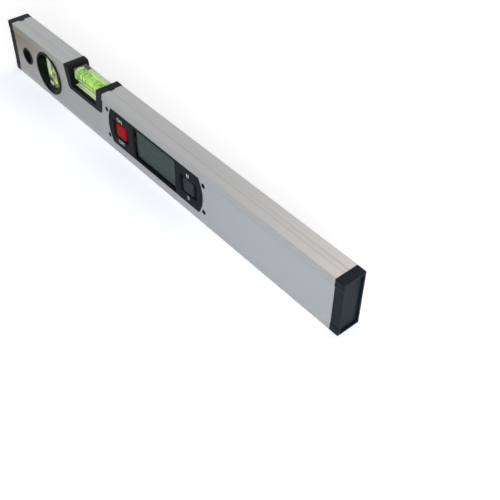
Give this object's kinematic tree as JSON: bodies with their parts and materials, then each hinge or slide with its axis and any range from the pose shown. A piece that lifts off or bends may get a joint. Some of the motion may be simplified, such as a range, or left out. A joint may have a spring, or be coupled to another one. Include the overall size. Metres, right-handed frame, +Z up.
{
  "type": "digital spirit level",
  "caption": "Aluminium box-beam spirit level with a plumb vial, a level vial, an angle display with keys, a battery bay with a hinged door and a hanging hole.",
  "frame": {"origin": "under the middle of the beam, on the lower measuring face", "axes": "+X along the beam to the battery end, -Y out of the display face, +Z up"},
  "size_m": [0.4, 0.02, 0.046],
  "materials": {
    "anodised_aluminium": "satin, silver anodised",
    "black_plastic": "moulded, fine matt texture",
    "fascia_plastic": "moulded, semi-matt",
    "clear_acrylic": "polished, clear",
    "vial_liquid": "clear yellow-green liquid",
    "vial_air": "air bubble",
    "vial_plug": "pale moulded",
    "window_glass": "polished, clear",
    "lcd": "grey-green display glass",
    "backlight": "white light panel",
    "board": "green circuit board",
    "chip_black": "matt moulded package",
    "tin_plate": "tin plated",
    "red_key": "moulded red",
    "grey_key": "moulded dark grey",
    "black_screw": "black oxide",
    "cell_jacket": "printed jacket",
    "white_print": "pad-printed lettering and marks",
    "black_print": "printed border and vial lines"
  },
  "bodies": {
    "level_body": {"beam": "anodised_aluminium", "end_cap_left": "black_plastic", "end_cap_right": "black_plastic", "hang_bush_front": "black_plastic", "hang_bush_back": "black_plastic", "plumb_holder_front": "black_plastic", "plumb_holder_back": "black_plastic", "plumb_vial": "clear_acrylic", "plumb_vial_plug": "vial_plug", "plumb_vial_liquid": "vial_liquid", "level_vial_frame": "black_plastic", "level_vial": "clear_acrylic", "level_vial_plug": "vial_plug", "level_vial_liquid": "vial_liquid", "display_fascia": "fascia_plastic", "display_window": "window_glass", "lcd_panel": "lcd", "lcd_backlight": "backlight", "circuit_board": "board", "tilt_sensor": "tin_plate", "controller_chip": "chip_black", "button_switches": "chip_black", "display_screws": "black_screw", "battery_box": "black_plastic", "battery_screws": "black_screw", "batteries": "cell_jacket", "battery_contacts": "tin_plate"},
    "on_off_key": {"on_off_button": "red_key"},
    "hold_key": {"hold_button": "grey_key"},
    "door": {"battery_door": "black_plastic"},
    "level_bubble": {"level_vial_bubble": "vial_air"},
    "plumb_bubble": {"plumb_vial_bubble": "vial_air"}
  },
  "joints": [
    {"name": "on_off_press", "type": "slide", "parent": "level_body", "child": "on_off_key", "axis": [0, 1, 0], "range_m": [0, 0.0008], "stiffness_N_per_m": 400},
    {"name": "hold_press", "type": "slide", "parent": "level_body", "child": "hold_key", "axis": [0, 1, 0], "range_m": [0, 0.0008], "stiffness_N_per_m": 400},
    {"name": "door_hinge", "type": "hinge", "parent": "level_body", "child": "door", "pos_m": [0.147, 0.0091, 0.0057], "axis": [-1, 0, 0], "range_deg": [0, 55]},
    {"name": "level_bubble_slide", "type": "slide", "parent": "level_body", "child": "level_bubble", "axis": [1, 0, 0], "range_m": [-0.0065, 0.0065], "stiffness_N_per_m": 4},
    {"name": "plumb_bubble_slide", "type": "slide", "parent": "level_body", "child": "plumb_bubble", "axis": [0, 0, 1], "range_m": [-0.0136, 0], "stiffness_N_per_m": 20, "springref_m": 0.001}
  ]
}
